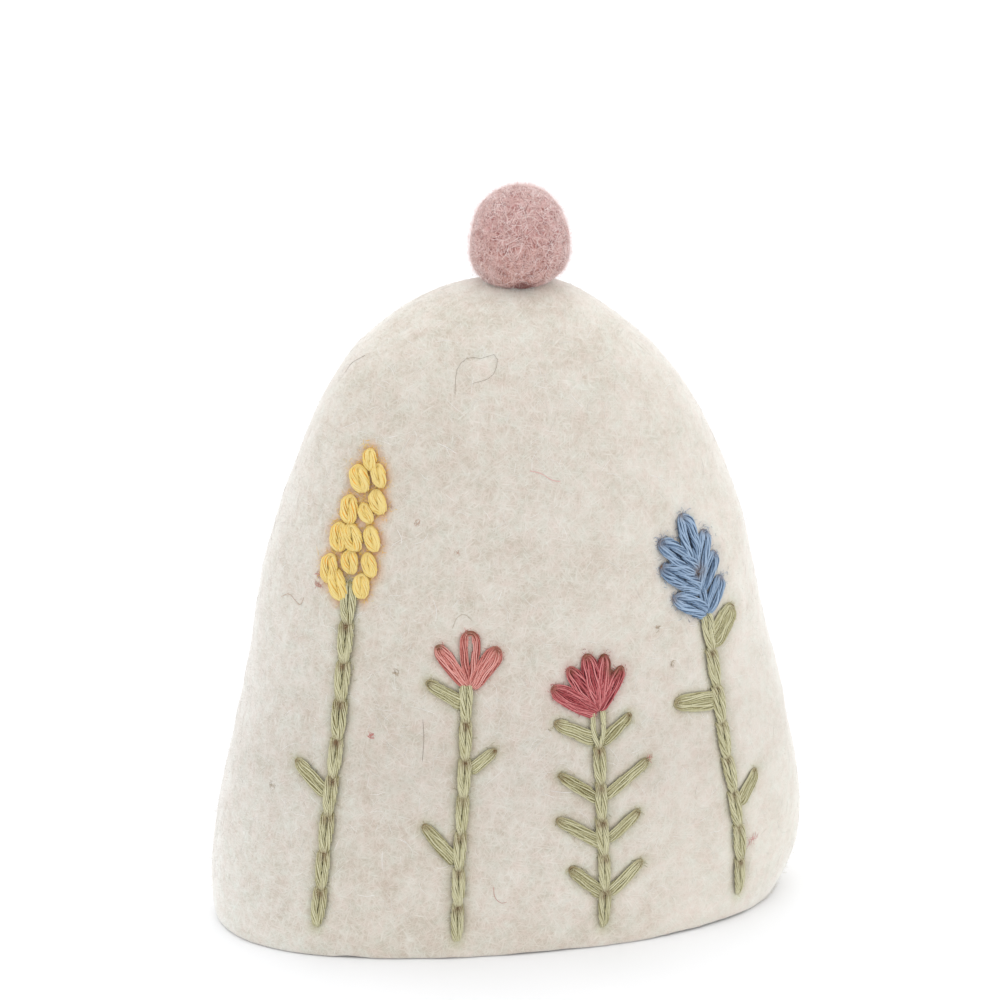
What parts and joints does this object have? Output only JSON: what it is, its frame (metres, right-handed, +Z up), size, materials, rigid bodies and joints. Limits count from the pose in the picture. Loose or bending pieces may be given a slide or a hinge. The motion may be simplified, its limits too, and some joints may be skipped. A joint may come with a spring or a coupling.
{
  "type": "egg cosy",
  "caption": "Bell-shaped cover of thick wool felt, open at its hem, with a felted ball on its crown and flowers embroidered on its front; it keeps a boiled egg warm.",
  "frame": {"origin": "on the surface that the hem stands on, under the middle of the object's box", "axes": "+Z up through the crown, -Y out of the embroidered front, +X to the right as the front is seen"},
  "size_m": [0.0887, 0.0505, 0.1086],
  "materials": {
    "felt": "soft cream wool felt",
    "ball_felt": "dusty pink felted wool",
    "stem_thread": "sage green stranded cotton",
    "yellow_thread": "straw yellow stranded cotton",
    "pink_thread": "rose pink stranded cotton",
    "red_thread": "old red stranded cotton",
    "blue_thread": "grey blue stranded cotton"
  },
  "bodies": {
    "root": {"felt_cap": "felt", "felt_ball": "ball_felt", "yellow_stem": "stem_thread", "yellow_flower": "yellow_thread", "pink_stem": "stem_thread", "pink_flower": "pink_thread", "red_stem": "stem_thread", "red_flower": "red_thread", "blue_stem": "stem_thread", "blue_flower": "blue_thread"}
  },
  "joints": []
}
